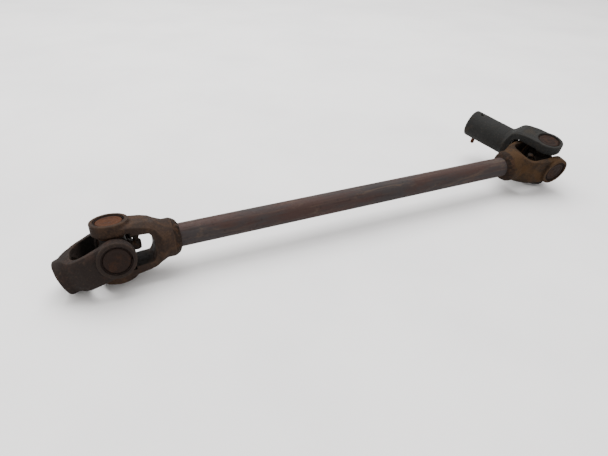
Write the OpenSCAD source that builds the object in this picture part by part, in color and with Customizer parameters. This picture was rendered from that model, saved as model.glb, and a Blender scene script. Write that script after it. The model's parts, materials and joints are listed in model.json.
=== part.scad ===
// Universal joint shaft: a tube with a cross joint at each end, stored in the bent pose in which it lies.
// Millimetres. +X runs along the tube, +Z is up, and the origin is under the middle of the bounding box.

/* [Shaft] */
// Distance between the centres of the two joints
joint_span = 572; // [300:1:900]
// Outside diameter of the tube
tube_od = 25.4; // [24:0.1:26]
// Wall thickness of the tube
tube_wall = 3.2; // [2.6:0.1:4]
// Lean of the left joint from upright, about the tube
lean = 11; // [0:0.5:11]
// How far the two shaft yokes are from being square to each other
yoke_twist = 22; // [0:0.5:22]

/* [Yokes] */
// Distance over the faces of the two ears
ear_span = 63.5; // [63.5:0.1:66]
// Outside radius of an ear
boss_r = 19.05; // [18.9:0.05:19.1]
// Gap between the two arms of a yoke
arm_gap = 39.6; // [39:0.1:40]
// Depth of the left joint's forks, from the joint centre to the root
left_fork_depth = 38.5; // [37:0.5:39]
// Depth of the right joint's forks, which lets it fold further
right_fork_depth = 41.5; // [41.5:0.5:43]
// Outside radius of the two outer hubs
outer_hub_r = 19.4; // [18.5:0.1:20]
// Outside radius of the two hubs welded to the tube
shaft_hub_r = 20.6; // [19.5:0.1:21]
// Joint centre to the end of the left outer hub
left_outer_end = 57.5; // [55:0.5:62]
// Joint centre to the end of the left shaft yoke's hub
left_shaft_end = 59.5; // [58:0.5:64]
// Joint centre to the end of the right outer hub
long_hub_end = 112.5; // [95:0.5:130]
// Joint centre to the end of the right shaft yoke's hub
right_shaft_end = 64.5; // [63:0.5:74]
// Diameter of the bores in the outer hubs
hub_bore_d = 25.4; // [20:0.1:26]

/* [Bearings] */
// Outside diameter of a bearing cup
cup_d = 30.16; // [29.8:0.02:30.4]
// Diameter of the cross's trunnions
trunnion_d = 20.4; // [20:0.1:20.4]
// Diameter of a needle roller
needle_d = 2.8; // [2.6:0.05:2.8]
// Needle rollers in one cup
needle_count = 24; // [18:1:25]

/* [Pose] */
// Bend of the left joint from straight
left_bend = 20.5; // [0:0.5:40]
// Fold of the right joint from straight
right_bend = 112; // [0:0.5:112]

/* [Hidden] */
$fn = 64;
ear_face = ear_span / 2;
fit_gap = 0.05;
ear_inner = 17.5;
ear_shoulder = 20;
ear_inner_r = 16.6;
boss_chamfer = 0.8;
arm_half_w = 17.5;
left_corner_r = 14.5;
right_corner_r = 9.5;
hub_chamfer = 1.5;
cup_r = cup_d / 2;
lip = 1.2;
ring_t = 1.6;
groove_depth = 1.1;
ring_inner_r = 13.6;
cup_top = ear_face - lip - ring_t;
crown_r = 13;
crown_top = cup_top + ring_t;
cup_mouth = 15.95;
cup_cap = 2.2;
cup_bore_r = trunnion_d / 2 + needle_d + 2 * fit_gap;
trunnion_r = trunnion_d / 2;
trunnion_end = cup_top - cup_cap - fit_gap;
needle_r = needle_d / 2;
needle_pitch_r = (cup_bore_r + trunnion_r) / 2;
needle_base = 18;
needle_top = 26.4;
seal_base = 16;
seal_top = 17.7;
cross_body_r = 15;
cross_shoulder_r = 12.6;
cross_shoulder = 15.3;
oilway_r = 2.2;
fitting_hole_r = 3.1;
fitting_reach = 23.6;
bore_r = hub_bore_d / 2;
key_w = 6.35;
key_depth = 3.1;
pin_r = 2.6;
pin_from_end = 12.5;
pin_proud = 10.4;
spigot_len = 16;
bead_len = 6.8;
bead_r = 18.2;
tube_r = tube_od / 2;
tube_bore_r = tube_r - tube_wall;
tube_left = -joint_span / 2 + left_shaft_end;
tube_right = joint_span / 2 - right_shaft_end;

// How far the tilted ears and the end of the long hub reach from the tube's axis
ear_reach = ear_face * cos(lean) + (boss_r - boss_chamfer) * sin(lean);
tip_r = outer_hub_r - hub_chamfer;
long_hub_y = sin(right_bend) * cos(yoke_twist - lean);
y_high = long_hub_end * long_hub_y + tip_r * sqrt(1 - long_hub_y * long_hub_y);
y_low = -ear_reach;
x_low = -joint_span / 2 - left_outer_end * cos(left_bend) - tip_r * sin(left_bend);
x_high = joint_span / 2 + boss_r;
short_hub_drop = sin(left_bend) * cos(lean);
rim_reach = max([
    (left_outer_end - hub_chamfer) * short_hub_drop + outer_hub_r * sqrt(1 - pow(short_hub_drop, 2)),
    left_outer_end * short_hub_drop + tip_r * sqrt(1 - pow(short_hub_drop, 2))
]);
axis_z = max(ear_reach, rim_reach);
mid_x = (x_low + x_high) / 2;
mid_y = (y_low + y_high) / 2;

// The four arms of each joint, each with the turn about X that carries +Z on to it
ARMS = [["upper", 0], ["lower", 180], ["front", 90], ["rear", -90]];
SIDES = ["left", "right"];
ARM_PARTS = ["cup", "snap_ring", "needles", "seal"];

// Shapes of the four forgings: depth, root radius, half height over the arms, radius round the arms
LEFT_SHAFT = [left_fork_depth, left_corner_r, 27.4, 30.2];
LEFT_OUTER = [left_fork_depth, left_corner_r, 28, 31];
RIGHT_SHAFT = [right_fork_depth, right_corner_r, 27.4, 31.6];
RIGHT_OUTER = [right_fork_depth, right_corner_r, 30.8, 35];

// Placement: each joint's frame has its centre at the origin and the tube along X
module in_row() translate([-mid_x, -mid_y, axis_z]) children();
module at_left() in_row() translate([-joint_span / 2, 0, 0]) rotate([-lean, 0, 0]) children();
module at_right() in_row() translate([joint_span / 2, 0, 0]) rotate([yoke_twist - lean, 0, 0]) children();
module at_side(side) {
    if (side == "left") at_left() children();
    else at_right() children();
}

// Mirrors half an outline, given from the joint centre to the hub's end, and fills it
module both_sides(half) {
    polygon(concat(half, [for (i = [len(half) - 1 : -1 : 0]) [half[i][0], -half[i][1]]]));
}

// Outline of the fork from the side: the arms slope from the ears down to the hub
module fork_side(depth, top, hub_r, hub_end) {
    both_sides([[0, top + 0.6], [depth - 16, top], [depth - 5, top - 0.8], [depth + 1, top - 3.4],
                [depth + 6.5, hub_r + 2.2], [depth + 10.5, hub_r], [hub_end, hub_r]]);
}

// Outline of the fork from above: the arms are narrower than the ears and the hub
module fork_plan(depth, hub_r, hub_end) {
    both_sides([[0, arm_half_w + 0.9], [12, arm_half_w + 0.3], [22, arm_half_w], [depth - 4, arm_half_w],
                [depth + 2, arm_half_w], [depth + 8, hub_r], [hub_end, hub_r]]);
}

// Body of revolution about X that rounds the outside of the arms
module fork_round(depth, reach, hub_r, hub_end) {
    rotate([0, 90, 0]) rotate_extrude()
        polygon([[0, 0], [reach + 2, 0], [reach + 1, 14], [reach, depth - 17], [reach - 1.4, depth - 8],
                 [reach - 3.2, depth - 1], [reach - 6, depth + 3.4], [hub_r + 1.4, depth + 8.5],
                 [hub_r, depth + 11.5], [hub_r, hub_end - hub_chamfer], [hub_r - hub_chamfer, hub_end],
                 [0, hub_end]]);
}

// Rounded slot between the arms
module fork_gap(depth, corner_r) {
    half_gap = arm_gap / 2;
    rotate([90, 0, 0]) linear_extrude(height = 4 * boss_r, center = true) {
        translate([-40, -half_gap]) square([40 + depth - corner_r, arm_gap]);
        translate([0, -half_gap + corner_r]) square([depth, arm_gap - 2 * corner_r]);
        for (s = [-1, 1])
            translate([depth - corner_r, s * (half_gap - corner_r)]) circle(r = corner_r);
    }
}

// One ear boss, along +Z, coned on its inner side so that crossing yokes clear each other
module ear_boss() {
    rotate_extrude()
        polygon([[0, ear_inner], [ear_inner_r, ear_inner], [boss_r, ear_shoulder],
                 [boss_r, ear_face - boss_chamfer], [boss_r - boss_chamfer, ear_face], [0, ear_face]]);
}

// Stepped seat for one bearing cup and its snap ring, along +Z
module cup_seat() {
    translate([0, 0, ear_inner - 1]) cylinder(r = cup_r, h = ear_face);
    translate([0, 0, cup_top]) cylinder(r = cup_r + groove_depth, h = ring_t);
}

// Forged yoke with its hub along +X and its ears along +Z and -Z
module yoke_forging(shape, hub_r, hub_end) {
    depth = shape[0];
    difference() {
        union() {
            difference() {
                intersection() {
                    rotate([90, 0, 0]) linear_extrude(height = 2 * shaft_hub_r, center = true)
                        fork_side(depth, shape[2], hub_r, hub_end);
                    linear_extrude(height = ear_span + 2, center = true) fork_plan(depth, hub_r, hub_end);
                    fork_round(depth, shape[3], hub_r, hub_end);
                }
                fork_gap(depth, shape[1]);
            }
            for (turn = [0, 180]) rotate([turn, 0, 0]) ear_boss();
        }
        for (turn = [0, 180]) rotate([turn, 0, 0]) cup_seat();
    }
}

// Spigot on the end of a shaft yoke's hub, inside the tube
module spigot(hub_end) {
    translate([hub_end - 4, 0, 0]) rotate([0, 90, 0]) cylinder(r = tube_bore_r - fit_gap, h = spigot_len + 4);
}

module left_shaft_yoke() {
    color("#43352f") union() {
        yoke_forging(LEFT_SHAFT, shaft_hub_r, left_shaft_end);
        spigot(left_shaft_end);
    }
}

module right_shaft_yoke() {
    color("#4a3a30") union() {
        yoke_forging(RIGHT_SHAFT, shaft_hub_r, right_shaft_end);
        spigot(right_shaft_end);
    }
}

// Bore through an outer yoke's hub
module hub_bore(depth, hub_end) {
    translate([depth - 10, 0, 0]) rotate([0, 90, 0]) cylinder(r = bore_r, h = hub_end);
}

// Left outer yoke, its hub bored and keyed
module left_outer_yoke() {
    color("#3f342f") difference() {
        yoke_forging(LEFT_OUTER, outer_hub_r, left_outer_end);
        hub_bore(left_fork_depth, left_outer_end);
        translate([left_fork_depth - 10, -key_w / 2, 0]) cube([40, key_w, bore_r + key_depth]);
    }
}

// Right outer yoke, its long hub bored and cross-drilled for a drive pin
module right_outer_yoke() {
    color("#34332f") difference() {
        yoke_forging(RIGHT_OUTER, outer_hub_r, long_hub_end);
        hub_bore(right_fork_depth, long_hub_end);
        translate([long_hub_end - pin_from_end, 0, 0]) cylinder(r = pin_r, h = 4 * boss_r, center = true);
    }
}

// Drive pin left in one wall of the long hub, its inner end level with the bore
module drive_pin() {
    start = bore_r + 0.4;
    tip = outer_hub_r + pin_proud;
    color("#5a3128") translate([long_hub_end - pin_from_end, 0, 0]) rotate([180, 0, 0]) rotate_extrude($fn = 32)
        polygon([[0, start], [pin_r - fit_gap, start], [pin_r - fit_gap, tip - 1.2],
                 [pin_r - 0.7, tip - 0.3], [pin_r - 1.5, tip], [0, tip]]);
}

module tube() {
    color("#46373a") translate([tube_left, 0, 0]) rotate([0, 90, 0]) difference() {
        cylinder(r = tube_r, h = tube_right - tube_left);
        translate([0, 0, -1]) cylinder(r = tube_bore_r, h = tube_right - tube_left + 2);
    }
}

// Fillet weld between a hub's end face and the tube, along +X from the face
module weld_bead(hub_end) {
    foot = tube_r + fit_gap;
    color("#3c2f2a") translate([hub_end + fit_gap, 0, 0]) rotate([0, 90, 0]) rotate_extrude()
        polygon([[foot, 0], [bead_r, 0], [bead_r - 0.6, 1.6], [bead_r - 2.2, 3.8], [foot + 0.8, 6], [foot, bead_len]]);
}

// Cross with trunnions along Y and Z, drilled for grease, its fitting hole along +X
module cross_piece() {
    color("#2d2a28") difference() {
        union() {
            sphere(r = cross_body_r);
            for (turn = [0, 90]) rotate([turn, 0, 0]) {
                cylinder(r = cross_shoulder_r, h = 2 * cross_shoulder, center = true);
                cylinder(r = trunnion_r, h = 2 * trunnion_end, center = true);
            }
        }
        for (turn = [0, 90]) rotate([turn, 0, 0]) cylinder(r = oilway_r, h = 80, center = true);
        rotate([0, 90, 0]) cylinder(r = fitting_hole_r, h = 40);
    }
}

// Right-angled grease fitting: its thread and hexagon along +X and its nipple along +Z
module grease_fitting() {
    color("#55504a") {
        rotate([0, 90, 0]) {
            translate([0, 0, 6]) cylinder(r = fitting_hole_r - fit_gap, h = fitting_reach - 6);
            translate([0, 0, cross_body_r + 0.1]) cylinder(r = 4.4, h = 3.6, $fn = 6);
            translate([0, 0, cross_body_r + 3]) cylinder(r = 3.6, h = fitting_reach - cross_body_r);
        }
        translate([fitting_reach, 0, 0]) rotate_extrude($fn = 32)
            polygon([[0, -3.4], [3, -3.4], [3.6, -2.4], [3.6, 3.6], [2.9, 4.2], [2.9, 5.2], [2.1, 5.9], [2.1, 6.7],
                     [3.1, 7.5], [3.2, 8.6], [2.6, 9.7], [1.4, 10.3], [0, 10.3]]);
    }
}

// Bearing cup along +Z: its closed outer end has a crown inside the snap ring, with a shallow ring turned in it
module bearing_cup() {
    color("#4a3530") difference() {
        union() {
            translate([0, 0, cup_mouth]) cylinder(r = cup_r, h = cup_top - cup_mouth - 0.9);
            translate([0, 0, cup_top - 0.9]) cylinder(r1 = cup_r, r2 = cup_r - 0.9, h = 0.9);
            translate([0, 0, cup_top - 0.9]) cylinder(r = crown_r, h = crown_top - cup_top + 0.5);
            translate([0, 0, crown_top - 0.4]) cylinder(r1 = crown_r, r2 = crown_r - 0.4, h = 0.4);
        }
        translate([0, 0, cup_mouth - 1]) cylinder(r = cup_bore_r, h = cup_top - cup_cap - cup_mouth + 1);
        translate([0, 0, crown_top - 0.5]) rotate_extrude() translate([8.2, 0]) square([1.1, 1]);
    }
}

// Split ring in the groove outside the cup
module snap_ring() {
    outer = cup_r + groove_depth - fit_gap;
    color("#2b211f") translate([0, 0, cup_top + fit_gap]) difference() {
        cylinder(r = outer, h = ring_t - 2 * fit_gap);
        translate([0, 0, -1]) cylinder(r = ring_inner_r, h = ring_t + 2);
        rotate([0, 0, -7]) translate([ring_inner_r - 2, -2.5, -1]) cube([outer, 5, ring_t + 2]);
    }
}

// Needle rollers between the cup and the trunnion
module needle_set() {
    color("#8a8781") for (i = [0 : needle_count - 1])
        rotate([0, 0, i * 360 / needle_count]) translate([needle_pitch_r, 0, needle_base])
            cylinder(r = needle_r, h = needle_top - needle_base, $fn = 16);
}

// Rubber seal in the mouth of the cup
module seal_ring() {
    color("#1b1a19") rotate_extrude()
        polygon([[trunnion_r + fit_gap, seal_base + 0.3], [trunnion_r + 0.9, seal_base - 0.4],
                 [cup_bore_r - fit_gap, seal_base], [cup_bore_r - fit_gap, seal_top],
                 [trunnion_r + 0.6, seal_top], [trunnion_r + fit_gap, seal_top - 0.5]]);
}

module arm_part(part) {
    if (part == "cup") bearing_cup();
    if (part == "snap_ring") snap_ring();
    if (part == "needles") needle_set();
    if (part == "seal") seal_ring();
}

// The left outer yoke bends down about its front and rear pins, and the right one folds back
module at_left_outer() at_left() rotate([0, -left_bend, 0]) rotate([90, 0, 180]) children();
module at_right_outer() at_right() rotate([0, 0, right_bend]) children();
module at_right_shaft_yoke() at_right() rotate([90, 0, 180]) children();

in_row() tube();  // shaft_tube
at_left() left_shaft_yoke();
at_right_shaft_yoke() right_shaft_yoke();
at_left() weld_bead(left_shaft_end);  // left_weld_bead
at_right_shaft_yoke() weld_bead(right_shaft_end);  // right_weld_bead
at_left() cross_piece();  // left_cross
at_right() rotate([0, 0, 180]) cross_piece();  // right_cross
at_left() grease_fitting();  // left_grease_fitting
at_right() rotate([0, 0, 180]) grease_fitting();  // right_grease_fitting
at_left_outer() left_outer_yoke();
at_right_outer() right_outer_yoke();
at_right_outer() drive_pin();  // hub_pin
for (side = SIDES) for (arm = ARMS) for (part = ARM_PARTS)
    at_side(side) rotate([arm[1], 0, 0]) arm_part(part);
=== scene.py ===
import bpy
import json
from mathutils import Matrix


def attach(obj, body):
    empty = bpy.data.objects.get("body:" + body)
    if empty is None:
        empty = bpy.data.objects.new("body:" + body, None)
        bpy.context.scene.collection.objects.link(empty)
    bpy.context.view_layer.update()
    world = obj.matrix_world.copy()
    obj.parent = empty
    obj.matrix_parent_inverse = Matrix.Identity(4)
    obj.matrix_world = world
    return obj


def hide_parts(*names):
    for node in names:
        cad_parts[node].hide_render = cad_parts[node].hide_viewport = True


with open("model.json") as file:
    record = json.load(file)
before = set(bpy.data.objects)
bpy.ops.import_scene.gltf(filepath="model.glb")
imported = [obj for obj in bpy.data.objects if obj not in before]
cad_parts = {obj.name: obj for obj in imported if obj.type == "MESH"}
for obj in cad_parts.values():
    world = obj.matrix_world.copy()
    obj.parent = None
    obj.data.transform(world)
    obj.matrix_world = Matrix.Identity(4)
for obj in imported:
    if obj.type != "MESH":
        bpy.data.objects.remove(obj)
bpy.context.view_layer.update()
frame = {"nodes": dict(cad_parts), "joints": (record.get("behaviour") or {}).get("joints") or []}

import json
import logging
import math
from dataclasses import dataclass
from enum import Enum

import bpy
import numpy as np
from mathutils import Matrix, Vector

MM = 0.001
FINE = 128               # segments round a large turned piece
SMOOTH_FACTOR = 0.5
NODE_MERGE = 2e-6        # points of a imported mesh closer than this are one, in metres
NOISE_MIDDLE = 0.62      # the noise value that leaves the surface where it is
Point = tuple[float, float]
Triple = tuple[float, float, float]
Colour = tuple[float, float, float]

log = logging.getLogger("shaft")


class Arm(Enum):
    """The four arms of a cross, each with the turn about X that brings +Z on to it."""

    UPPER = 0.0
    LOWER = 180.0
    FRONT = 90.0
    REAR = -90.0

    def turned(self) -> Matrix:
        """The rotation that brings +Z on to this arm."""
        return Matrix.Rotation(math.radians(self.value), 4, "X")


class Side(Enum):
    """Which end of the shaft a joint is on."""

    LEFT = "left"
    RIGHT = "right"


# ---------------------------------------------------------------- bench tools


def clear_bench() -> None:
    """Leave edit mode and deselect everything."""
    if bpy.context.object is not None and bpy.context.object.mode != "OBJECT":
        bpy.ops.object.mode_set(mode="OBJECT")
    bpy.ops.object.select_all(action="DESELECT")


def pick(piece: bpy.types.Object) -> None:
    """Make a piece the only selected and the active object.

    Args:
        piece: The object to work on.
    """
    clear_bench()
    piece.select_set(True)
    bpy.context.view_layer.objects.active = piece


def start_piece(name: str) -> bpy.types.Object:
    """Name the primitive that was just added.

    Args:
        name: The piece's name.

    Returns:
        The new object.
    """
    piece = bpy.context.object
    piece.name = name
    piece.data.name = name
    return piece


def finish_modifier(piece: bpy.types.Object, kind: str, **settings: object) -> None:
    """Add a modifier, set it and apply it.

    Args:
        piece: The object to change.
        kind: Blender's modifier type.
        **settings: Values for the modifier's own settings.
    """
    pick(piece)
    modifier = piece.modifiers.new(kind.lower(), kind)
    for key, value in settings.items():
        setattr(modifier, key, value)
    bpy.ops.object.modifier_apply(modifier=modifier.name)


def set_down(piece: bpy.types.Object, place: Matrix) -> bpy.types.Object:
    """Move a piece to its place and apply the move to its mesh.

    Args:
        piece: A piece modelled round the origin.
        place: Where it goes, in the row frame.

    Returns:
        The same piece.
    """
    pick(piece)
    piece.matrix_world = place @ piece.matrix_world
    bpy.ops.object.transform_apply(location=True, rotation=True, scale=True)
    return piece


def copy_piece(model: bpy.types.Object, name: str) -> bpy.types.Object:
    """Copy a piece with a mesh of its own.

    Args:
        model: The piece to copy.
        name: The copy's name.

    Returns:
        The copy.
    """
    piece = model.copy()
    piece.data = model.data.copy()
    piece.name = name
    piece.data.name = name
    bpy.context.scene.collection.objects.link(piece)
    return piece


def discard(*pieces: bpy.types.Object) -> None:
    """Remove objects that were only models or cutters."""
    for piece in pieces:
        bpy.data.objects.remove(piece)


def face_outward(piece: bpy.types.Object, merge: float = 1e-6) -> None:
    """Merge doubles and turn every face outward.

    Args:
        piece: A closed piece.
        merge: Distance below which points are one, in metres.
    """
    pick(piece)
    bpy.ops.object.mode_set(mode="EDIT")
    bpy.ops.mesh.select_all(action="SELECT")
    bpy.ops.mesh.remove_doubles(threshold=merge)
    bpy.ops.mesh.normals_make_consistent(inside=False)
    bpy.ops.object.mode_set(mode="OBJECT")


def smooth_shade(piece: bpy.types.Object, degrees: float = 35.0) -> None:
    """Shade smooth, with edges sharper than an angle kept sharp.

    Args:
        piece: The piece to shade.
        degrees: The angle above which an edge stays sharp.
    """
    pick(piece)
    bpy.ops.object.shade_smooth_by_angle(angle=math.radians(degrees))


def vertex_rows(mesh: bpy.types.Mesh, name: str) -> np.ndarray:
    """Read a vector of every vertex.

    Args:
        mesh: The mesh.
        name: Blender's name for the vector, co or normal.

    Returns:
        One row of three numbers for each vertex.
    """
    values = np.empty(len(mesh.vertices) * 3)
    mesh.vertices.foreach_get(name, values)
    return values.reshape(-1, 3)


def store_values(mesh: bpy.types.Mesh, name: str, values: np.ndarray) -> None:
    """Store a number at every vertex, for the materials.

    Args:
        mesh: The mesh.
        name: The attribute's name.
        values: The numbers, one for each vertex.
    """
    attribute = mesh.attributes.new(name, "FLOAT", "POINT")
    attribute.data.foreach_set("value", values.astype(np.float32))


def lathe(name: str, profile: list[Point], steps: int = 96, ring: bool = False) -> bpy.types.Object:
    """Turn a profile round Z by drawing a circle and extruding it from point to point.

    Args:
        name: The piece's name.
        profile: (radius, height) pairs in millimetres, in order along the surface.
        steps: How many segments the circle has.
        ring: True when the last point joins the first, as on a ring.

    Returns:
        The turned piece, closed.
    """
    clear_bench()
    radius, height = profile[0]
    bpy.ops.mesh.primitive_circle_add(vertices=steps, radius=radius * MM, location=(0, 0, height * MM))
    piece = start_piece(name)
    bpy.ops.object.transform_apply(location=True, rotation=True, scale=True)
    bpy.ops.object.mode_set(mode="EDIT")
    bpy.ops.mesh.select_mode(type="EDGE" if ring else "FACE")
    bpy.ops.mesh.select_all(action="SELECT")
    if not ring:
        bpy.ops.mesh.edge_face_add()
    for next_radius, next_height in profile[1:]:
        bpy.ops.mesh.extrude_region_move()
        bpy.ops.transform.translate(value=(0, 0, (next_height - height) * MM))
        bpy.ops.transform.resize(
            value=(next_radius / radius, next_radius / radius, 1),
            center_override=(0, 0, next_height * MM),
        )
        radius, height = next_radius, next_height
    if ring:
        bpy.ops.mesh.select_all(action="DESELECT")
        bpy.ops.mesh.select_non_manifold(extend=False)
        bpy.ops.mesh.bridge_edge_loops()
    bpy.ops.object.mode_set(mode="OBJECT")
    face_outward(piece)
    return piece


def bar(name: str, radius: float, low: float, high: float, steps: int = 96) -> bpy.types.Object:
    """A round bar along Z, for plugs and plain drills.

    Args:
        name: The piece's name.
        radius: Its radius in millimetres.
        low: Height of its lower end in millimetres.
        high: Height of its upper end in millimetres.
        steps: How many segments it has.

    Returns:
        The bar.
    """
    clear_bench()
    bpy.ops.mesh.primitive_cylinder_add(
        vertices=steps, radius=radius * MM, depth=(high - low) * MM, location=(0, 0, (high + low) / 2 * MM)
    )
    piece = start_piece(name)
    bpy.ops.object.transform_apply(location=True, rotation=True, scale=True)
    return piece


def block(name: str, size: Triple, centre: Triple, place: Matrix) -> bpy.types.Object:
    """A box.

    Args:
        name: The piece's name.
        size: Its sides in millimetres.
        centre: Its centre in millimetres, before it is set down.
        place: Where it is set down.

    Returns:
        The box.
    """
    clear_bench()
    bpy.ops.mesh.primitive_cube_add(size=1.0, location=[value * MM for value in centre])
    piece = start_piece(name)
    piece.scale = [value * MM for value in size]
    return set_down(piece, place)


def join(base: bpy.types.Object, *others: bpy.types.Object) -> bpy.types.Object:
    """Join pieces into one mesh, without merging them.

    Args:
        base: The object that keeps its name.
        *others: What is joined to it.

    Returns:
        The joined object.
    """
    clear_bench()
    for other in others:
        other.select_set(True)
    base.select_set(True)
    bpy.context.view_layer.objects.active = base
    bpy.ops.object.join()
    return base


def cut(piece: bpy.types.Object, cutter: bpy.types.Object) -> None:
    """Cut one closed piece with another, and discard the cutter.

    Args:
        piece: The piece that is cut.
        cutter: The shape that is taken away.
    """
    finish_modifier(piece, "BOOLEAN", operation="DIFFERENCE", object=cutter, solver="MANIFOLD")
    discard(cutter)


def fuse(piece: bpy.types.Object, grain: float, rounds: int) -> None:
    """Turn overlapping closed shells into one skin, and soften its edges.

    Args:
        piece: The piece.
        grain: Size of the skin's squares in millimetres.
        rounds: How many times it is smoothed.
    """
    finish_modifier(piece, "REMESH", mode="VOXEL", voxel_size=grain * MM, adaptivity=0.0)
    finish_modifier(piece, "SMOOTH", factor=SMOOTH_FACTOR, iterations=rounds)


def roughen(piece: bpy.types.Object, grain: float, depth: float) -> None:
    """Push a surface in and out with cloud noise.

    Args:
        piece: A finely divided piece.
        grain: Size of the lumps in millimetres.
        depth: How far they stand from the lowest point, in millimetres.
    """
    clouds = bpy.data.textures.new("clouds", "CLOUDS")
    clouds.noise_scale = grain * MM
    clouds.noise_depth = 2
    finish_modifier(piece, "DISPLACE", texture=clouds, texture_coords="LOCAL", strength=depth * MM,
                    mid_level=NOISE_MIDDLE)
    bpy.data.textures.remove(clouds)


def copy_node(node: str, name: str, place: Matrix) -> bpy.types.Object:
    """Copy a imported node's shape as a closed blank in its own frame.

    Args:
        node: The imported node.
        name: The copy's name.
        place: The node's own frame in the row frame.

    Returns:
        The blank.
    """
    piece = copy_piece(bpy.data.objects[node], name)
    piece.parent = None
    piece.matrix_world = place.inverted()
    for key in list(piece.keys()):
        del piece[key]
    pick(piece)
    bpy.ops.object.transform_apply(location=True, rotation=True, scale=True)
    face_outward(piece, NODE_MERGE)
    return piece


def install(
    piece: bpy.types.Object, place: Matrix, material: bpy.types.Material, body: str, node: str
) -> None:
    """Give a finished piece its material and its place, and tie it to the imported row.

    Args:
        piece: The piece, in its own frame.
        place: That frame in the row frame.
        material: Its material.
        body: The body it rides on.
        node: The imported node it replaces.
    """
    piece.data.materials.clear()
    piece.data.materials.append(material)
    set_down(piece, place)
    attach(piece, body)
    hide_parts(node)
    log.info("%s: %d faces, on %s", piece.name, len(piece.data.polygons), body)


# ------------------------------------------------------------------ materials


# Near-black painted shade laid on the forks' inner faces round the cross
THROAT_SHADE = (0.0045, 0.0038, 0.0034)


def darker(colour: Colour, share: float) -> Colour:
    """A colour at a share of its brightness."""
    return tuple(channel * share for channel in colour)


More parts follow.
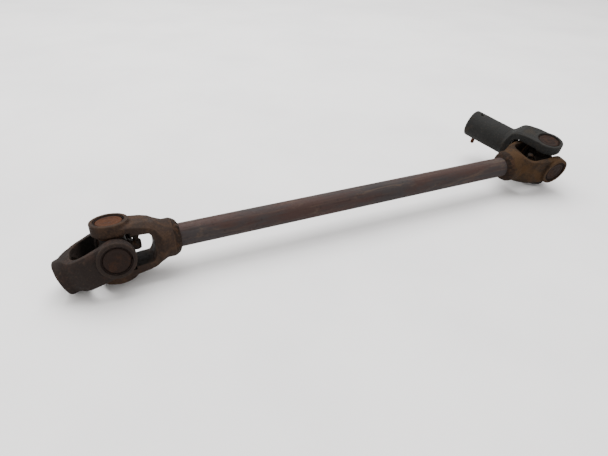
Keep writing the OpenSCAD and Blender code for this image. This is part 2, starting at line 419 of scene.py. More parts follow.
class Shader:
    """A small builder for one material's nodes."""

    def __init__(self, name: str) -> None:
        """Start a material with one Principled shader.

        Args:
            name: The material's name.
        """
        self.material = bpy.data.materials.new(name)
        self.material.use_nodes = True
        self.tree = self.material.node_tree
        self.surface = self.tree.nodes["Principled BSDF"]
        self.place = self.tree.nodes.new("ShaderNodeTexCoord").outputs["Object"]

    def node(self, kind: str, **settings: object) -> bpy.types.Node:
        """Add a node and set its own settings.

        Args:
            kind: Blender's node type without the ShaderNode prefix.
            **settings: Values for the node's settings.

        Returns:
            The node.
        """
        made = self.tree.nodes.new("ShaderNode" + kind)
        for key, value in settings.items():
            setattr(made, key, value)
        return made

    def feed(self, value: object, socket: bpy.types.NodeSocket) -> None:
        """Link an output to a socket, or set the socket to a constant.

        Args:
            value: An output socket or a constant.
            socket: The input it goes to.
        """
        if isinstance(value, bpy.types.NodeSocket):
            self.tree.links.new(value, socket)
        else:
            socket.default_value = value

    def stretched(self, scale: Triple) -> bpy.types.NodeSocket:
        """Object coordinates, multiplied.

        Args:
            scale: Multipliers along X, Y and Z.

        Returns:
            The mapped coordinates.
        """
        mapping = self.node("Mapping")
        mapping.inputs["Scale"].default_value = scale
        self.feed(self.place, mapping.inputs["Vector"])
        return mapping.outputs["Vector"]

    def noise(
        self, size: float, detail: float = 4.0, rough: float = 0.6, place: object = None,
        twist: float = 0.0,
    ) -> bpy.types.NodeSocket:
        """Fractal noise.

        Args:
            size: Size of its largest lumps in millimetres.
            detail: How many finer octaves it has.
            rough: How strong those octaves are.
            place: Coordinates, or None for the plain ones.
            twist: How far it is distorted.

        Returns:
            Its value from 0 to 1.
        """
        made = self.node("TexNoise", noise_dimensions="3D")
        made.inputs["Scale"].default_value = 1.0 / (size * MM)
        made.inputs["Detail"].default_value = detail
        made.inputs["Roughness"].default_value = rough
        made.inputs["Distortion"].default_value = twist
        self.feed(place or self.place, made.inputs["Vector"])
        return made.outputs["Fac"]

    def cells(self, size: float, place: object = None) -> bpy.types.NodeSocket:
        """Distance to the nearest of scattered points.

        Args:
            size: Their spacing in millimetres.
            place: Coordinates, or None for the plain ones.

        Returns:
            The distance, 0 at a point.
        """
        made = self.node("TexVoronoi", feature="F1")
        made.inputs["Scale"].default_value = 1.0 / (size * MM)
        self.feed(place or self.place, made.inputs["Vector"])
        return made.outputs["Distance"]

    def spread(
        self, value: object, low: float, high: float, to_low: float = 0.0, to_high: float = 1.0
    ) -> bpy.types.NodeSocket:
        """Stretch a value's range, and clamp it.

        Args:
            value: What is stretched.
            low: The value that becomes to_low.
            high: The value that becomes to_high.
            to_low: The new low end.
            to_high: The new high end.

        Returns:
            The stretched value.
        """
        made = self.node("MapRange", interpolation_type="SMOOTHSTEP")
        self.feed(value, made.inputs["Value"])
        ends = (("From Min", low), ("From Max", high), ("To Min", to_low), ("To Max", to_high))
        for key, number in ends:
            made.inputs[key].default_value = number
        return made.outputs["Result"]

    def sum(self, first: object, second: object, operation: str = "ADD") -> bpy.types.NodeSocket:
        """Combine two numbers.

        Args:
            first: The first number.
            second: The second number.
            operation: Blender's name for how they combine.

        Returns:
            The result.
        """
        made = self.node("Math", operation=operation)
        self.feed(first, made.inputs[0])
        self.feed(second, made.inputs[1])
        return made.outputs[0]

    def blend(self, share: object, under: object, over: object) -> bpy.types.NodeSocket:
        """Lay one colour over another.

        Args:
            share: How much of the upper colour shows.
            under: The lower colour.
            over: The upper colour.

        Returns:
            The blended colour.
        """
        made = self.node("Mix", data_type="RGBA", blend_type="MIX")
        for index, value in ((0, share), (6, under), (7, over)):
            if isinstance(value, tuple):
                value = (*value, 1.0)
            self.feed(value, made.inputs[index])
        return made.outputs[2]

    def relief(self, height: object, depth: float, over: object = None) -> bpy.types.NodeSocket:
        """A bump map.

        Args:
            height: Its height from 0 to 1.
            depth: The height of 1, in millimetres.
            over: Another relief that it lies on.

        Returns:
            The bent normal.
        """
        made = self.node("Bump")
        made.inputs["Strength"].default_value = 1.0
        made.inputs["Distance"].default_value = depth * MM
        self.feed(height, made.inputs["Height"])
        if over is not None:
            self.feed(over, made.inputs["Normal"])
        return made.outputs["Normal"]

    def finish(
        self, colour: object, rough: object, normal: object, metal: float, shine: float = 0.05
    ) -> bpy.types.Material:
        """Connect the finished values to the shader.

        Args:
            colour: Base colour.
            rough: Roughness.
            normal: Bent normal.
            metal: How metallic the surface is.
            shine: The strength of its plain reflection, 0.5 for glass.

        Returns:
            The material.
        """
        self.feed(colour, self.surface.inputs["Base Color"])
        self.feed(rough, self.surface.inputs["Roughness"])
        self.feed(normal, self.surface.inputs["Normal"])
        self.surface.inputs["Metallic"].default_value = metal
        self.surface.inputs["Specular IOR Level"].default_value = shine
        return self.material


@dataclass(frozen=True)
class ForgedRust:
    """Rusted forging: dark scale, brown rust in clouds, pale worn edges that also carry a painted
    highlight, painted shade in creases and round the cross, pits and grain.

    The sizes of its clouds, fine grain, pits and specks are in millimetres.
    """

    name: str
    scale: Colour = (0.0178, 0.0124, 0.0100)
    rust: Colour = (0.0398, 0.0199, 0.0104)
    bright: Colour = (0.0514, 0.0352, 0.0244)
    rust_share: float = 0.5
    cloud: float = 22.0
    fine: float = 2.4
    pit: float = 1.9
    speck: float = 0.7
    rough: float = 0.62
    metal: float = 0.05
    # Lightens worn edges, partly as a painted highlight, and lays painted shade in creases and round the
    # cross
    worn: bool = True

    def material(self) -> bpy.types.Material:
        """Build the material.

        Returns:
            The finished material.
        """
        make = Shader(self.name)
        clouds = make.noise(self.cloud, 5, 0.62, twist=0.6)
        fine = make.noise(self.fine, 6, 0.7)
        speck = make.noise(self.speck, 3, 0.6)
        pits = make.spread(make.cells(self.pit), 0.0, 0.36)
        share = make.spread(make.sum(clouds, make.sum(fine, 0.35, "MULTIPLY")),
                            0.86 - self.rust_share * 0.5, 1.05 - self.rust_share * 0.5)
        colour = make.blend(share, self.scale, self.rust)
        colour = make.blend(make.spread(fine, 0.52, 0.72, 0.0, 0.55), colour, self.bright)
        colour = make.blend(make.spread(speck, 0.3, 0.48, 0.55, 0.0), colour, darker(self.scale, 0.4))
        if self.worn:
            edge = make.node("Attribute", attribute_name="edge").outputs["Fac"]
            # Convex edges are lightened: worn edges, partly a painted highlight
            colour = make.blend(make.spread(edge, 0.55, 0.9, 0.0, 0.55), colour, self.bright)
            # Concave creases are darkened: painted shade
            crease_shade = make.spread(edge, 0.18, 0.45, 0.6, 0.0)
            colour = make.blend(crease_shade, colour, darker(self.scale, 0.35))
            # Faces turned toward the cross near the joint's centre are darkened: painted shade, mixed with
            # fine noise
            grease = make.node("Attribute", attribute_name="grease").outputs["Fac"]
            grease_and_shade = make.sum(grease, make.sum(fine, 0.3, "MULTIPLY"))
            colour = make.blend(make.spread(grease_and_shade, 0.15, 0.6, 0.0, 0.85), colour, THROAT_SHADE)
        rough = make.spread(make.sum(fine, clouds), 0.7, 1.3, self.rough - 0.02, self.rough + 0.24)
        normal = make.relief(clouds, 0.5)
        normal = make.relief(make.sum(fine, pits, "MULTIPLY"), 0.32, normal)
        normal = make.relief(speck, 0.10, normal)
        return make.finish(colour, rough, normal, self.metal)


@dataclass(frozen=True)
class RolledTube:
    """Drawn tube: purplish brown scale with blue-grey patches, and pale streaks along it."""

    name: str
    scale: Colour = (0.0382, 0.0217, 0.0186)
    patch: Colour = (0.0307, 0.0260, 0.0260)
    streak: Colour = (0.0700, 0.0477, 0.0350)
    dark: Colour = (0.0127, 0.0080, 0.0069)

    def material(self) -> bpy.types.Material:
        """Build the material.

        Returns:
            The finished material.
        """
        make = Shader(self.name)
        along = make.stretched((0.22, 1.0, 1.0))
        drawn = make.stretched((0.04, 1.0, 1.0))
        broad = make.noise(34.0, 5, 0.65, along, 0.4)
        fine = make.noise(3.0, 6, 0.7)
        lines = make.noise(2.2, 4, 0.65, drawn)
        speck = make.noise(0.8, 3, 0.6)
        colour = make.blend(make.spread(broad, 0.44, 0.60), self.scale, self.patch)
        patches = make.noise(16.0, 6, 0.75, along, 1.0)
        colour = make.blend(make.spread(patches, 0.54, 0.66, 0.0, 0.6), colour, self.streak)
        colour = make.blend(make.spread(lines, 0.56, 0.70, 0.0, 0.45), colour, self.streak)
        colour = make.blend(make.spread(lines, 0.30, 0.44, 0.5, 0.0), colour, self.dark)
        colour = make.blend(make.spread(fine, 0.30, 0.46, 0.6, 0.0), colour, self.dark)
        rough = make.spread(make.sum(fine, broad), 0.7, 1.3, 0.52, 0.80)
        normal = make.relief(broad, 0.35)
        normal = make.relief(lines, 0.10, normal)
        normal = make.relief(fine, 0.16, normal)
        normal = make.relief(speck, 0.05, normal)
        return make.finish(colour, rough, normal, 0.12, 0.12)


@dataclass(frozen=True)
class GroundSteel:
    """Ground steel under grease or light rust, for bearings and small fittings."""

    name: str
    steel: Colour = (0.0842, 0.0781, 0.0722)
    stain: Colour = (0.0359, 0.0240, 0.0149)
    rough: float = 0.35
    metal: float = 0.8

    def material(self) -> bpy.types.Material:
        """Build the material.

        Returns:
            The finished material.
        """
        make = Shader(self.name)
        film = make.noise(6.0, 4, 0.6, twist=0.5)
        fine = make.noise(0.9, 4, 0.65)
        colour = make.blend(make.spread(film, 0.38, 0.62), self.steel, self.stain)
        colour = make.blend(make.spread(fine, 0.32, 0.45, 0.5, 0.0), colour, darker(self.stain, 0.5))
        rough = make.spread(film, 0.3, 0.7, self.rough, self.rough + 0.25)
        return make.finish(colour, rough, make.relief(fine, 0.05), self.metal)


@dataclass(frozen=True)
class OldRubber:
    """Seal rubber, dulled by dust."""

    name: str
    rubber: Colour = (0.0050, 0.0050, 0.0050)
    dust: Colour = (0.0214, 0.0184, 0.0154)

    def material(self) -> bpy.types.Material:
        """Build the material.

        Returns:
            The finished material.
        """
        make = Shader(self.name)
        dusty = make.noise(4.0, 5, 0.65)
        colour = make.blend(make.spread(dusty, 0.45, 0.7, 0.0, 0.6), self.rubber, self.dust)
        rough = make.spread(dusty, 0.3, 0.7, 0.6, 0.85)
        return make.finish(colour, rough, make.relief(make.noise(0.8, 3), 0.06), 0.0)


@dataclass(frozen=True)
class PaleFloor:
    """Matt off-white floor."""

    name: str
    paint: Colour = (0.80, 0.79, 0.785)
    worn: Colour = (0.74, 0.73, 0.73)

    def material(self) -> bpy.types.Material:
        """Build the material.

        Returns:
            The finished material.
        """
        make = Shader(self.name)
        broad = make.noise(240.0, 4, 0.55)
        colour = make.blend(make.spread(broad, 0.35, 0.7), self.paint, self.worn)
        rough = make.spread(broad, 0.3, 0.7, 0.7, 0.85)
        return make.finish(colour, rough, make.relief(make.noise(1.5, 3), 0.02), 0.0)


# --------------------------------------------------------------------- frames


@dataclass(frozen=True)
class JointFrame:
    """Where a joint is, and the turns of the pieces round it."""

    side: Side
    centre: Triple
    lean: float
    shaft_turn: Matrix
    outer_turn: Matrix

    def matrix(self) -> Matrix:
        """The joint's own frame in the row frame, with the tube along X."""
        return Matrix.Translation(self.centre) @ Matrix.Rotation(math.radians(self.lean), 4, "X")

    def shaft_yoke(self) -> Matrix:
        """The shaft yoke's frame: hub along +X, ears along Z."""
        return self.matrix() @ self.shaft_turn

    def outer_yoke(self) -> Matrix:
        """The outer yoke's frame: hub along +X, ears along Z."""
        return self.matrix() @ self.outer_turn

    def arm(self, arm: Arm) -> Matrix:
        """The frame of one arm of the cross, with the arm along +Z.

        Args:
            arm: Which arm.

        Returns:
            Its frame in the row frame.
        """
        return self.matrix() @ arm.turned()


def rotation(*turns: tuple[float, str]) -> Matrix:
    """Several turns, the last one made first.

    Args:
        *turns: (degrees, axis) pairs.

    Returns:
        The combined rotation.
    """
    made = Matrix.Identity(4)
    for degrees, axis in turns:
        made = made @ Matrix.Rotation(math.radians(degrees), 4, axis)
    return made


def shift(x: float, y: float, z: float) -> Matrix:
    """A move, in millimetres."""
    return Matrix.Translation((x * MM, y * MM, z * MM))


# --------------------------------------------------------------------- pieces

EAR_TURNS = (0.0, 180.0)            # turns about X that bring +Z on to each ear
TO_HUB = rotation((90.0, "Y"))      # brings +Z on to +X


@dataclass
class Forging:
    """A forged yoke, softened all over and then machined. Sizes in millimetres.

    Its own frame has the joint's centre at the origin, the hub along +X and the ears along Z.
    """

    node: str
    body: str
    slot: str
    frame: Matrix
    finish: ForgedRust
    hub_end: float
    hub_bore: float = 0.0
    bore_start: float = 30.0
    keyway: tuple[float, float] = (0.0, 0.0)
    key_length: float = 44.0
    key_centre: float = 50.0
    pin_at: float = 0.0
    pin_radius: float = 2.4
    drill_reach: float = 24.0
    cup_radius: float = 15.09
    seat_start: float = 15.0
    groove_radius: float = 16.2
    groove: tuple[float, float] = (28.93, 30.57)
    ear_face: float = 31.75
    plug_start: float = 17.6
    plug_overlap: float = 0.6
    hub_plug_start: float = 43.0
    throat: float = 0.0
    web_start: float = 17.0
    web_short: float = 2.5
    web_width: float = 35.2
    web_thick: float = 6.4
    web_height: float = 19.3
    web_tilt: float = 4.0
    grain: float = 0.65
    rounds: int = 3
    lumps: tuple[Point, ...] = ((7.0, 0.35), (2.2, 0.22))
    soft_rounds: int = 6
    lift_rounds: int = 3
    # Reach and fade of the painted shade round the joint's centre, in metres
    grease_reach: float = 0.040
    grease_fade: float = 0.010

    def blank(self) -> bpy.types.Object:
        """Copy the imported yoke, plug its bores, and round it all over.

        Returns:
            The rounded blank in its own frame.
        """
        blank = copy_node(self.node, self.node + ".forged", self.frame)
        low, high = self.groove
        over = self.plug_overlap
        plugs = []
        for turn in EAR_TURNS:
            ear = rotation((turn, "X"))
            seat = bar("plug", self.cup_radius + over, self.plug_start, self.ear_face)
            plugs.append(set_down(seat, ear))
            ring = bar("plug", self.groove_radius + 0.4, low - over, high + over)
            plugs.append(set_down(ring, ear))
        if self.hub_bore:
            bore = bar("plug", self.hub_bore + over, self.hub_plug_start, self.hub_end)
            plugs.append(set_down(bore, TO_HUB))
            key = bar("plug", self.hub_bore + 4.5, self.hub_plug_start + 2.0, self.hub_end - 3.0)
            plugs.append(set_down(key, TO_HUB))
        if self.throat:
            plugs += [self.web(turn) for turn in EAR_TURNS]
        join(blank, *plugs)
        fuse(blank, self.grain, self.rounds)
        for size, depth in self.lumps:
            roughen(blank, size, depth)
        return blank

    def web(self, turn: float) -> bpy.types.Object:
        """The thickening of an arm's inner face toward the hub.

        Args:
            turn: Turn about X in degrees: 0 for the upper arm, 180 for the lower.

        Returns:
            The web in the yoke's frame.
        """
        end = self.throat - self.web_short
        middle = shift((end + self.web_start) / 2, 0, self.web_height)
        return block("web", (end - self.web_start, self.web_width, self.web_thick), (0, 0, 0),
                     rotation((turn, "X")) @ middle @ rotation((self.web_tilt, "Y")))

    def machine(self, blank: bpy.types.Object) -> None:
        """Cut the bearing seats, and the hub's bore, keyway and pin hole.

        Args:
            blank: The rounded blank.
        """
        low, high = self.groove
        r, mouth = self.cup_radius, self.cup_radius + 1.2
        for turn in EAR_TURNS:
            seat = lathe("seat", [(r, self.seat_start), (r, low), (self.groove_radius, low),
                                  (self.groove_radius, high), (r, high), (r, self.ear_face - 0.55),
                                  (mouth, 32.4), (mouth, 34.0)], FINE)
            cut(blank, set_down(seat, rotation((turn, "X"))))
        if self.hub_bore:
            r, mouth, end = self.hub_bore, self.hub_bore + 1.4, self.hub_end
            bore = lathe("bore", [(r, self.bore_start), (r, end - 0.9), (mouth, end + 0.5),
                                  (mouth, end + 3.0)], FINE)
            cut(blank, set_down(bore, TO_HUB))
        if self.keyway[0]:
            width, deep = self.keyway
            top = self.hub_bore + deep
            cut(blank, block("key", (self.key_length, width, top), (self.key_centre, 0, top / 2),
                             Matrix.Identity(4)))
        if self.pin_at:
            drill = bar("drill", self.pin_radius, -self.drill_reach, self.drill_reach, 48)
            cut(blank, set_down(drill, shift(self.pin_at, 0, 0)))

    def mark_edges(self, piece: bpy.types.Object) -> None:
        """Store how convex each point is, 0.5 where it is flat, and where the painted shade round the
        cross lies.

        Args:
            piece: The machined yoke.
        """
        mesh = piece.data
        count = len(mesh.vertices)
        place, normal = vertex_rows(mesh, "co"), vertex_rows(mesh, "normal")
        edges = np.empty(len(mesh.edges) * 2, dtype=np.int64)
        mesh.edges.foreach_get("vertices", edges)
        first, second = edges.reshape(-1, 2).T
        degree = np.bincount(first, minlength=count) + np.bincount(second, minlength=count)
        degree = np.maximum(degree, 1)

        def spread(values: np.ndarray) -> np.ndarray:
            """Average each point's neighbours."""
            total = np.zeros_like(values)
            np.add.at(total, first, values[second])
            np.add.at(total, second, values[first])
            return total / degree.reshape(-1, *([1] * (values.ndim - 1)))

        soft = place
        for _ in range(self.soft_rounds):
            soft = spread(soft)
        lift = ((place - soft) * normal).sum(1) / (self.grain * MM)
        for _ in range(self.lift_rounds):
            lift = spread(lift)
        store_values(mesh, "edge", np.clip(0.5 + lift * 0.5, 0.0, 1.0))
        # Painted shade on faces that turn toward the joint's centre and lie near it
        reach = np.linalg.norm(place, axis=1)
        inward = np.clip(-(place * normal).sum(1) / np.maximum(reach, 1e-6) * 1.6, 0.0, 1.0)
        near = np.clip((self.grease_reach - reach) / self.grease_fade, 0.0, 1.0)
        store_values(mesh, "grease", spread(inward * near))

    def build(self) -> None:
        """Make the yoke, put it in place and give it its finish."""
        piece = self.blank()
        self.machine(piece)
        self.mark_edges(piece)
        smooth_shade(piece, 40.0)
        install(piece, self.frame, self.finish.material(), self.body, self.node)


@dataclass
class Bearings:
    """The bearing cups and their snap rings. Sizes in millimetres."""

    frames: dict[Side, JointFrame]
    riders: dict[tuple[Side, Arm], str]
    cup_radius: float = 15.06
    cup_mouth: float = 15.95
    cup_top: float = 28.95
    cup_bore: float = 13.1
    crown_radius: float = 12.95
    crown_top: float = 30.52
    cup_floor: float = 26.75
    ring_outer: float = 16.12
    ring_inner: float = 13.6
    ring_thick: float = 1.5
    ring_edge: float = 0.18
    ring_gap: Triple = (9.0, 2.6, 4.0)
    gap_centre: float = 14.0
    plier_hole: float = 0.65
    plier_centre: float = 14.8
    plier_turn: float = 11.0

    def cup(self) -> bpy.types.Object:
        """A drawn cup whose closed end has a crown with a shallow dish in it.

        Returns:
            The cup, its closed end up.
        """
        r, top = self.cup_radius, self.cup_top
        c, k = self.crown_radius, self.crown_top
        bore, mouth, floor = self.cup_bore, self.cup_mouth, self.cup_floor
        dish = [(0.3, k - 1.0), (1.0, k - 0.9), (1.8, k - 0.55), (2.5, k - 0.4), (3.4, k - 0.36),
                (7.6, k - 0.36), (8.0, k - 0.5), (9.0, k - 0.5), (9.5, k - 0.25), (10.2, k - 0.06)]
        crown = [(11.0, k), (c - 0.75, k - 0.02), (c - 0.25, k - 0.15), (c, k - 0.45),
                 (c, top + 0.25), (c + 0.25, top)]
        wall = [(r - 0.75, top - 0.16), (r - 0.3, top - 0.42), (r - 0.06, top - 0.85),
                (r, top - 1.3), (r, mouth + 0.4), (r - 0.4, mouth)]
        inside = [(bore + 0.3, mouth), (bore, mouth + 0.4), (bore, floor - 0.4),
                  (bore - 0.4, floor), (0.4, floor)]
        return lathe("cup", dish + crown + wall + inside, FINE)

    def snap_ring(self) -> bpy.types.Object:
        """A split ring with a hole for pliers at each end.

        Returns:
            The ring, in its groove's place.
        """
        low = self.cup_top + 0.05
        high = low + self.ring_thick
        o, i, c = self.ring_outer, self.ring_inner, self.ring_edge
        piece = lathe("snap_ring", [(i, low + c), (i, high - c), (i + c, high), (o - c, high),
                                    (o, high - c), (o, low + c), (o - c, low), (i + c, low)],
                      FINE, ring=True)
        cut(piece, block("gap", self.ring_gap, (self.gap_centre, 0, (low + high) / 2),
                         Matrix.Identity(4)))
        for angle in (-self.plier_turn, self.plier_turn):
            hole = bar("hole", self.plier_hole, low - 1, high + 1, 24)
            cut(piece, set_down(hole, rotation((angle, "Z")) @ shift(self.plier_centre, 0, 0)))
        return piece

    def build(self) -> None:
        """Copy a cup and a snap ring to every arm."""
        cup, ring = self.cup(), self.snap_ring()
        smooth_shade(cup, 50.0)
        smooth_shade(ring, 35.0)
        dull = ForgedRust(
            "cup_rust", scale=(0.0170, 0.0111, 0.0093), rust=(0.0286, 0.0154, 0.0106),
            bright=(0.0382, 0.0254, 0.0191), rust_share=0.45, cloud=9.0, worn=False,
        ).material()
        orange = ForgedRust(
            "cup_rust_orange", scale=(0.0276, 0.0133, 0.0090), rust=(0.0530, 0.0217, 0.0111),
            bright=(0.0615, 0.0329, 0.0201), rust_share=0.7, cloud=9.0, worn=False,
        ).material()
        spring = ForgedRust(
            "ring_rust", scale=(0.0111, 0.0074, 0.0064), rust=(0.0201, 0.0111, 0.0083),
            bright=(0.0276, 0.0191, 0.0148), rust_share=0.3, cloud=5.0, rough=0.6, worn=False,
        ).material()
        for (side, arm), body in self.riders.items():
            stem = f"{side.value}_{arm.name.lower()}"
            place = self.frames[side].arm(arm)
            cup_rust = orange if (side, arm) == (Side.LEFT, Arm.UPPER) else dull
            for model, node, slot, material in (
                (cup, "cup", "cup_steel", cup_rust), (ring, "snap_ring", "ring_steel", spring),
            ):
                piece = copy_piece(model, f"{stem}_{node}.made")
                install(piece, place, material, body, f"{stem}_{node}")
        discard(cup, ring)


@dataclass
class Crosses:
    """The two crosses and their grease fittings. Sizes in millimetres."""

    frames: dict[Side, JointFrame]
    grain: float = 0.6
    rounds: int = 8
    hexagon: Triple = (6.6, 3.4, 17.8)
    elbow: float = 21.9

    def cross(self) -> bpy.types.Object:
        """Round the left cross all over, in its own frame.

        Returns:
            The rounded cross.
        """
        piece = copy_node("left_cross", "cross", self.frames[Side.LEFT].matrix())
        fuse(piece, self.grain, self.rounds)
        roughen(piece, 2.5, 0.12)
        smooth_shade(piece, 60.0)
        return piece

    def fitting(self) -> bpy.types.Object:
        """A right-angled grease fitting: thread and hexagon along X, nipple along Z.

        Returns:
            The fitting in the cross's frame.
        """
        stem = lathe("stem", [
            (2.6, 5.6), (3.0, 6.2), (3.0, 12.8), (7.0, 12.8), (7.4, 13.2), (7.4, 15.6), (7.0, 16.0),
            (5.0, 16.0), (5.0, 22.2), (4.6, 23.6), (3.6, 24.8), (2.0, 25.4), (0.3, 25.5),
        ], 48)
        set_down(stem, TO_HUB)
        clear_bench()
        radius, thick, height = self.hexagon
        bpy.ops.mesh.primitive_cylinder_add(vertices=6, radius=radius * MM, depth=thick * MM,
                                            location=(0, 0, height * MM))
        nut = start_piece("hexagon")
        bpy.ops.object.transform_apply(location=True, rotation=True, scale=True)
        finish_modifier(nut, "BEVEL", width=0.35 * MM, segments=2, limit_method="ANGLE")
        set_down(nut, TO_HUB)
        nipple = lathe("nipple", [
            (3.4, -4.8), (4.4, -4.0), (4.8, -1.8), (4.8, 3.6), (4.3, 4.8), (3.4, 5.4), (2.9, 6.2),
            (2.8, 7.0), (3.1, 8.0), (3.7, 8.8), (4.0, 9.8), (3.8, 11.0), (3.0, 11.9), (2.0, 12.3),
            (1.1, 12.4), (0.8, 12.0), (0.2, 11.9),
        ], 48)
        set_down(nipple, shift(self.elbow, 0, 0))
        piece = join(stem, nut, nipple)
        piece.name = "fitting"
        smooth_shade(piece, 35.0)
        return piece

    def build(self) -> None:
        """Put a cross and a fitting in each joint."""
        cross, fitting = self.cross(), self.fitting()
        grease_and_shade = ForgedRust(
            "cross_grime", scale=(0.0095, 0.0077, 0.0066), rust=(0.0227, 0.0142, 0.0094),
            bright=(0.0373, 0.0283, 0.0223), rust_share=0.35, cloud=8.0, rough=0.45, worn=False,
        ).material()
        plated = ForgedRust(
            "fitting_rust", scale=(0.0196, 0.0154, 0.0130), rust=(0.0370, 0.0202, 0.0118),
            bright=(0.0691, 0.0571, 0.0452), rust_share=0.45, cloud=5.0, rough=0.45, worn=False,
        ).material()
        for side, turn in ((Side.LEFT, 0.0), (Side.RIGHT, 180.0)):
            place = self.frames[side].matrix() @ rotation((turn, "Z"))
            for model, node, slot, material in (
                (cross, "cross", "cross_steel", grease_and_shade),
                (fitting, "grease_fitting", "fitting_steel", plated),
            ):
                piece = copy_piece(model, f"{side.value}_{node}.made")
                install(piece, place, material, f"cross_{side.value}", f"{side.value}_{node}")
        discard(cross, fitting)


@dataclass
class Welds:
    """The two rippled weld beads. Sizes in millimetres."""

    places: dict[str, tuple[Matrix, float]]
    foot: float = 12.8
    toe: float = 6.8
    height: float = 20.1
    ripples: int = 27
    dab: Triple = (1.7, 2.7, 4.0)
    dab_radius: float = 16.2
    dab_height: float = 2.6
    grain: float = 0.35
    rounds: int = 16

    def bead(self) -> bpy.types.Object:
        """A fillet round the tube with a ripple for each dab of the rod.

        Returns:
            The bead, standing on Z = 0 round the Z axis.
        """
        foot, height = self.foot, self.height
        piece = lathe("bead", [
            (foot, -1.4), (height - 0.9, -1.4), (height, -0.5), (height - 0.6, 0.9),
            (height - 2.7, 2.8), (height - 4.9, 4.6), (foot + 0.6, 6.2), (foot, self.toe),
        ], ring=True)
        lean = rotation((-48.0, "Y"), (12.0, "X"))
        dabs = []
        for index in range(self.ripples):
            angle = 2 * math.pi * index / self.ripples
            wander = 0.35 * math.sin(index * 2.4) + 0.2 * math.sin(index * 5.1 + 1.0)
            clear_bench()
            bpy.ops.mesh.primitive_ico_sphere_add(subdivisions=2, radius=1.0)
            dab = start_piece("dab")
            dab.scale = [value * MM for value in self.dab]
            spot = shift(self.dab_radius + wander * 0.4, 0, self.dab_height + wander)
            dabs.append(set_down(dab, Matrix.Rotation(angle, 4, "Z") @ spot @ lean))
        join(piece, *dabs)
        fuse(piece, self.grain, self.rounds)
        roughen(piece, 4.0, 0.7)
        roughen(piece, 1.4, 0.2)
        cut(piece, bar("hole", foot - 0.06, -4.0, 14.0, FINE))
        smooth_shade(piece, 50.0)
        return piece

    def build(self, finish: ForgedRust) -> None:
        """Put a bead at each end of the tube.

        Args:
            finish: The beads' finish.
        """
        bead = self.bead()
        material = finish.material()
        for node, (yoke, hub_end) in self.places.items():
            piece = copy_piece(bead, node + ".made")
            install(piece, yoke @ shift(hub_end, 0, 0) @ TO_HUB, material, "shaft", node)
        discard(bead)


@dataclass
class HubPin:
    """The drive pin left in the long hub. Sizes in millimetres."""

    frame: Matrix
    along: float
    radius: float = 2.55
    start: float = 13.1
    tip: float = 29.7
    grain: float = 0.25

    def build(self) -> None:
        """Turn the pin, roughen it and put it in the hub's lower wall."""
        r, start, tip = self.radius, self.start, self.tip
        piece = lathe("pin", [(r - 0.1, start), (r, start + 0.3), (r, start + 4), (r, tip - 4),
                              (r + 0.1, tip - 1.6), (r, tip - 0.8), (r - 0.4, tip - 0.25),
                              (r - 1.0, tip)], 64)
        fuse(piece, self.grain, 3)
        roughen(piece, 1.4, 0.22)
        smooth_shade(piece, 60.0)
        piece.name = "hub_pin.made"
        rust = ForgedRust(
            "pin_rust", scale=(0.0261, 0.0111, 0.0075), rust=(0.0638, 0.0189, 0.0075),
            bright=(0.0702, 0.0342, 0.0223), rust_share=0.65, cloud=4.0, rough=0.65, worn=False,
        )
        install(piece, self.frame @ shift(self.along, 0, 0) @ rotation((180.0, "X")),
                rust.material(), "end_yoke_right", "hub_pin")


@dataclass
class Studio:
    """The floor, the soft light, the sky and the camera. Sizes in metres, turns in degrees."""

    camera_place: Triple = (-0.26019, -0.48234, 0.34755)
    camera_turn: Triple = (55.388, -1.579, -23.694)
    lens: float = 29.6
    sensor: float = 36.0
    clip: tuple[float, float] = (0.01, 50.0)
    floor_size: float = 9.0
    lamp_size: float = 2.0
    lamp_watts: float = 92.0
    lamp_place: Triple = (0.0, 0.75, 1.95)
    lamp_target: Triple = (0.0, 0.05, 0.0)
    sky_colour: Colour = (1.0, 0.99, 0.98)
    sky_strength: float = 1.25

    def floor(self) -> None:
        """A pale floor that the shaft lies on."""
        clear_bench()
        bpy.ops.mesh.primitive_plane_add(size=self.floor_size)
        floor = start_piece("floor")
        floor.data.materials.append(PaleFloor("floor_paint").material())

    def lamp(self) -> None:
        """A square soft light overhead."""
        clear_bench()
        place = Vector(self.lamp_place)
        bpy.ops.object.light_add(type="AREA", location=place)
        lamp = bpy.context.object
        lamp.name = "overhead"
        lamp.data.shape = "SQUARE"
        lamp.data.size = self.lamp_size
        lamp.data.energy = self.lamp_watts
        toward = Vector(self.lamp_target) - place
        lamp.rotation_euler = toward.to_track_quat("-Z", "Y").to_euler()

    def sky(self) -> None:
        """Even light from all round."""
        world = bpy.data.worlds.new("room")
        bpy.context.scene.world = world
        world.use_nodes = True
        sky = world.node_tree.nodes["Background"]
        sky.inputs["Color"].default_value = (*self.sky_colour, 1.0)
        sky.inputs["Strength"].default_value = self.sky_strength

    def camera(self) -> None:
        """The camera, above and in front of the left end."""
        data = bpy.data.cameras.new("camera")
        data.lens = self.lens
        data.sensor_width = self.sensor
        data.clip_start, data.clip_end = self.clip
        camera = bpy.data.objects.new("camera", data)
        camera.location = self.camera_place
        camera.rotation_euler = tuple(math.radians(angle) for angle in self.camera_turn)
        bpy.context.scene.collection.objects.link(camera)
        bpy.context.scene.camera = camera

    def build(self) -> None:
        """Set up the floor, the light, the sky and the camera."""
        self.floor()
        self.lamp()
        self.sky()
        self.camera()


def dress_nodes(nodes: dict[str, bpy.types.Object]) -> None:
    """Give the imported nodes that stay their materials.

    Args:
        nodes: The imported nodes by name.
    """
    finishes = {
        "shaft_tube": RolledTube("tube_scale").material(),
        "needles": GroundSteel("roller_steel").material(),
        "seal": OldRubber("seal_rubber").material(),
    }
    for name, node in nodes.items():
        material = next((made for word, made in finishes.items() if word in name), None)
        if material is None:
            continue
        for slot in node.material_slots:
            slot.link = "OBJECT"
            slot.material = material
        log.info("%s dressed", name)


# ------------------------------------------------------------------- the shaft

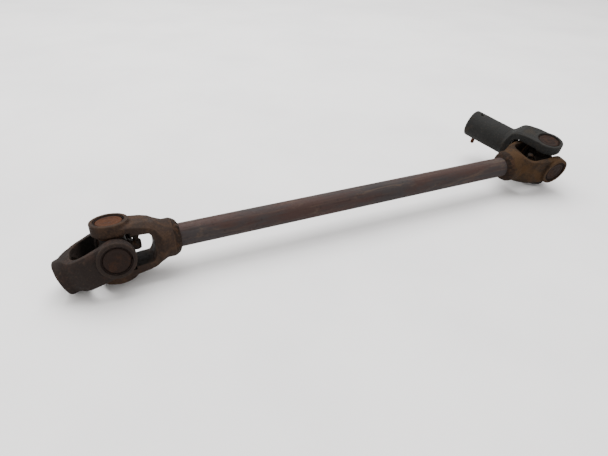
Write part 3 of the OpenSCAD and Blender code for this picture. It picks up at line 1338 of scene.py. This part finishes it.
ROLL = 11.0              # how far each cross is rolled about the tube, in degrees
LEFT_BEND = 20.5         # the pose of the left outer yoke, in degrees
RIGHT_FOLD = 112.0       # the pose of the right outer yoke, in degrees
LEFT_SHAFT_HUB = 59.5    # from each joint's centre to a hub's end, in millimetres
RIGHT_SHAFT_HUB = 64.5
LEFT_OUTER_HUB = 57.5
RIGHT_OUTER_HUB = 112.5
HUB_BORE = 12.7          # radius of both outer hubs' bores
PIN_AT = 100.0           # from the right joint's centre to the drive pin


def joint_frames(joints: dict[str, dict]) -> dict[Side, JointFrame]:
    """Find both joints' frames.

    Args:
        joints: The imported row's joints by name.

    Returns:
        The frame of each joint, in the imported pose.
    """
    return {
        Side.LEFT: JointFrame(
            Side.LEFT, tuple(joints["left_yoke_bend"]["pos_m"]), -ROLL, Matrix.Identity(4),
            rotation((-LEFT_BEND, "Y"), (180.0, "Z"), (90.0, "X")),
        ),
        Side.RIGHT: JointFrame(
            Side.RIGHT, tuple(joints["right_yoke_fold"]["pos_m"]), ROLL,
            rotation((180.0, "Z"), (90.0, "X")), rotation((RIGHT_FOLD, "Z")),
        ),
    }


def forgings(left: JointFrame, right: JointFrame) -> list[Forging]:
    """Describe the four yokes.

    Args:
        left: The left joint's frame.
        right: The right joint's frame.

    Returns:
        The yokes, ready to build.
    """
    brown = ForgedRust("left_forging_rust", scale=(0.0224, 0.0152, 0.0121),
                       rust=(0.0420, 0.0251, 0.0167))
    dark = ForgedRust("left_end_rust", scale=(0.0175, 0.0133, 0.0119),
                      rust=(0.0286, 0.0186, 0.0154), rust_share=0.4)
    orange = ForgedRust("right_forging_rust", scale=(0.0207, 0.0136, 0.0093),
                        rust=(0.0426, 0.0234, 0.0114), rust_share=0.6)
    blue = ForgedRust("right_end_rust", scale=(0.0182, 0.0182, 0.0176),
                      rust=(0.0265, 0.0229, 0.0193), bright=(0.0470, 0.0409, 0.0350),
                      rust_share=0.35)
    return [
        Forging("left_shaft_yoke", "shaft", "left_forging", left.shaft_yoke(), brown,
                LEFT_SHAFT_HUB, throat=38.5),
        Forging("right_shaft_yoke", "shaft", "right_forging", right.shaft_yoke(), orange,
                RIGHT_SHAFT_HUB),
        Forging("left_outer_yoke", "end_yoke_left", "left_end_forging", left.outer_yoke(), dark,
                LEFT_OUTER_HUB, hub_bore=HUB_BORE, bore_start=28.0, keyway=(6.35, 3.1)),
        Forging("right_outer_yoke", "end_yoke_right", "right_end_forging", right.outer_yoke(),
                blue, RIGHT_OUTER_HUB, hub_bore=HUB_BORE, pin_at=PIN_AT),
    ]


def main() -> None:
    """Build the shaft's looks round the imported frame."""
    logging.basicConfig(level=logging.INFO, format="%(name)s: %(message)s")
    clear_bench()
    frames = joint_frames({joint["name"]: joint for joint in frame["joints"]})
    left, right = frames[Side.LEFT], frames[Side.RIGHT]
    for forging in forgings(left, right):
        forging.build()
    riders = {
        (Side.LEFT, Arm.UPPER): "shaft", (Side.LEFT, Arm.LOWER): "shaft",
        (Side.LEFT, Arm.FRONT): "end_yoke_left", (Side.LEFT, Arm.REAR): "end_yoke_left",
        (Side.RIGHT, Arm.UPPER): "end_yoke_right", (Side.RIGHT, Arm.LOWER): "end_yoke_right",
        (Side.RIGHT, Arm.FRONT): "shaft", (Side.RIGHT, Arm.REAR): "shaft",
    }
    Bearings(frames, riders).build()
    Crosses(frames).build()
    Welds({
        "left_weld_bead": (left.shaft_yoke(), LEFT_SHAFT_HUB),
        "right_weld_bead": (right.shaft_yoke(), RIGHT_SHAFT_HUB),
    }).build(ForgedRust("weld_rust", scale=(0.0152, 0.0104, 0.0080), rust=(0.0348, 0.0186, 0.0113),
                        rust_share=0.45, cloud=7.0, worn=False))
    HubPin(right.outer_yoke(), PIN_AT).build()
    dress_nodes(frame["nodes"])
    Studio().build()


if __name__ == "__main__":
    main()
